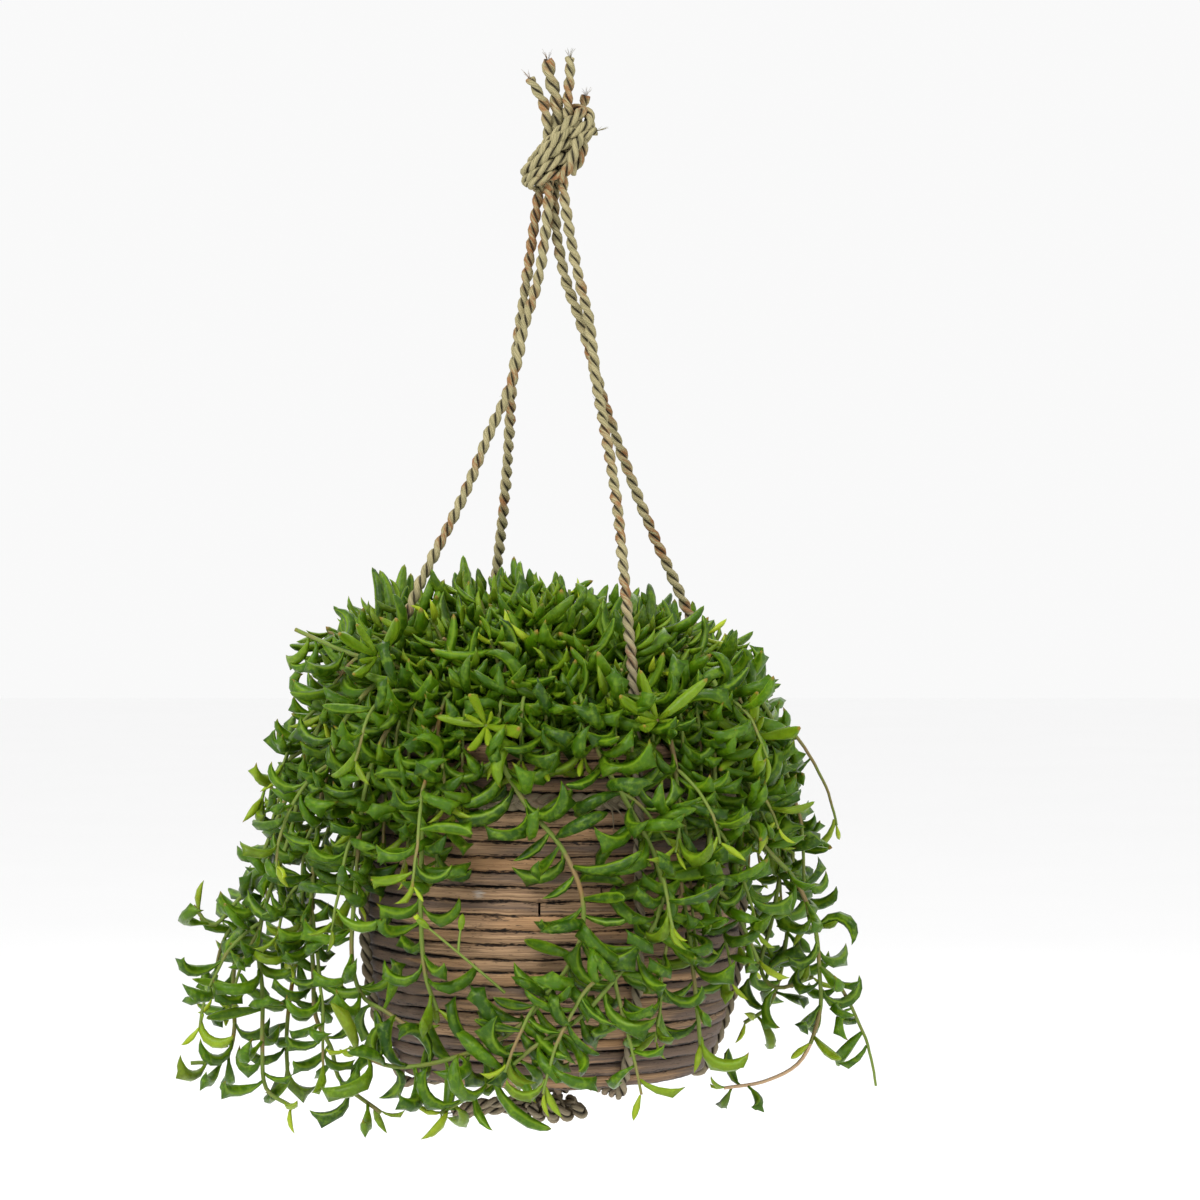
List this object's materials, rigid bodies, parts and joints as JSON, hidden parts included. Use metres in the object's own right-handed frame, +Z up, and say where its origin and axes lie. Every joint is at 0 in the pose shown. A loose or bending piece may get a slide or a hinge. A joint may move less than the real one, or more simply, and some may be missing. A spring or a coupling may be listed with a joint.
{
  "type": "hanging potted plant",
  "caption": "Trailing succulent with curved fleshy leaves in a round basket of stacked split cane, hung on twisted seagrass ropes.",
  "frame": {"origin": "underside of the top knot, where the ropes enter it and the basket hangs", "axes": "+Z up along the hanging basket's axis, -Y towards the front, +X to the right of somebody who faces the front"},
  "size_m": [0.3414, 0.2737, 0.5397],
  "materials": {
    "cane": "weathered split cane, matt",
    "seagrass": "twisted dry seagrass, matt",
    "pot_plastic": "thin dark nursery plastic",
    "soil": "moist potting soil",
    "leaf": "fleshy leaf, satin"
  },
  "bodies": {
    "root": {"cane_hoop_01": "cane", "cane_hoop_02": "cane", "cane_hoop_03": "cane", "cane_hoop_04": "cane", "cane_hoop_05": "cane", "cane_hoop_06": "cane", "cane_hoop_07": "cane", "cane_hoop_08": "cane", "cane_hoop_09": "cane", "cane_hoop_10": "cane", "cane_hoop_11": "cane", "cane_hoop_12": "cane", "cane_hoop_13": "cane", "cane_hoop_14": "cane", "cane_hoop_15": "cane", "cane_hoop_16": "cane", "cane_hoop_17": "cane", "cane_hoop_18": "cane", "cane_hoop_19": "cane", "cane_hoop_20": "cane", "cane_hoop_21": "cane", "cane_hoop_22": "cane", "cane_hoop_23": "cane", "rib_1": "cane", "rib_2": "cane", "rib_3": "cane", "rib_4": "cane", "basket_floor": "cane", "rope_front": "seagrass", "rope_left": "seagrass", "rope_back": "seagrass", "rope_right": "seagrass", "braided_ring": "seagrass", "top_knot": "seagrass", "base_knot": "seagrass", "nursery_pot": "pot_plastic", "soil": "soil", "strand_01": "leaf", "strand_02": "leaf", "strand_03": "leaf", "strand_04": "leaf", "strand_05": "leaf", "strand_06": "leaf", "strand_07": "leaf", "strand_08": "leaf", "strand_09": "leaf", "strand_10": "leaf", "strand_11": "leaf", "strand_12": "leaf", "strand_13": "leaf", "strand_14": "leaf", "strand_15": "leaf", "strand_16": "leaf", "strand_17": "leaf", "strand_18": "leaf", "strand_19": "leaf", "strand_20": "leaf", "crown": "leaf"}
  },
  "joints": []
}
